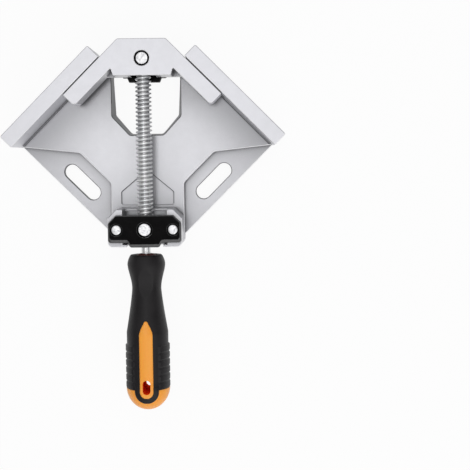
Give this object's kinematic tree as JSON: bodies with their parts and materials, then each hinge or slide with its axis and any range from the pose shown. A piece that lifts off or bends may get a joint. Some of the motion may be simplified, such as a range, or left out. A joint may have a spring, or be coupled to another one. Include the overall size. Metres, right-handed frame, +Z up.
{
  "type": "corner clamp",
  "caption": "Right-angle corner clamp: die-cast bed with upright fences, a V-shaped jaw driven along a swivelling screw, and a soft-grip handle.",
  "frame": {"origin": "on the bench plane, directly under the axis of the swivel nut", "axes": "+Z up from the bench, +Y along the screw towards the corner of the fences, +X to the right"},
  "size_m": [0.208, 0.2761, 0.0497],
  "materials": {
    "cast_aluminium": "satin, fine blasted",
    "plated_steel": "bright zinc plate",
    "black_plate": "gloss black",
    "orange_plastic": "semi-gloss",
    "soft_grip": "matt"
  },
  "bodies": {
    "base": {"base_casting": "cast_aluminium", "nut_plate": "black_plate", "nut_rivet_left": "plated_steel", "nut_rivet_right": "plated_steel"},
    "nut": {"swivel_nut": "plated_steel"},
    "carriage": {"jaw_pivot": "plated_steel"},
    "screw": {"lead_screw": "plated_steel", "thrust_washer": "plated_steel", "retaining_clip": "plated_steel", "handle_core": "orange_plastic", "handle_grip": "soft_grip"},
    "jaw": {"jaw_casting": "cast_aluminium", "jaw_plate": "black_plate", "jaw_rivet_left": "plated_steel", "jaw_rivet_right": "plated_steel"}
  },
  "joints": [
    {"name": "nut_swivel", "type": "hinge", "parent": "base", "child": "nut", "pos_m": [0, 0, 0.0335], "axis": [0, 0, 1], "range_deg": [-0.3, 0.3]},
    {"name": "jaw_feed", "type": "slide", "parent": "nut", "child": "carriage", "axis": [0, -1, 0], "range_m": [0, 0.09]},
    {"name": "screw_spin", "type": "hinge", "parent": "carriage", "child": "screw", "pos_m": [0, 0.1254, 0.0335], "axis": [0, -1, 0], "range_deg": [0, 10800]},
    {"name": "jaw_swivel", "type": "hinge", "parent": "carriage", "child": "jaw", "pos_m": [0, 0.1254, 0.0335], "axis": [0, 0, 1], "range_deg": [-0.35, 0.35]}
  ],
  "couplings": [
    {"joint": "screw_spin", "follows": "jaw_feed", "rad_per_m": 2094.4}
  ]
}
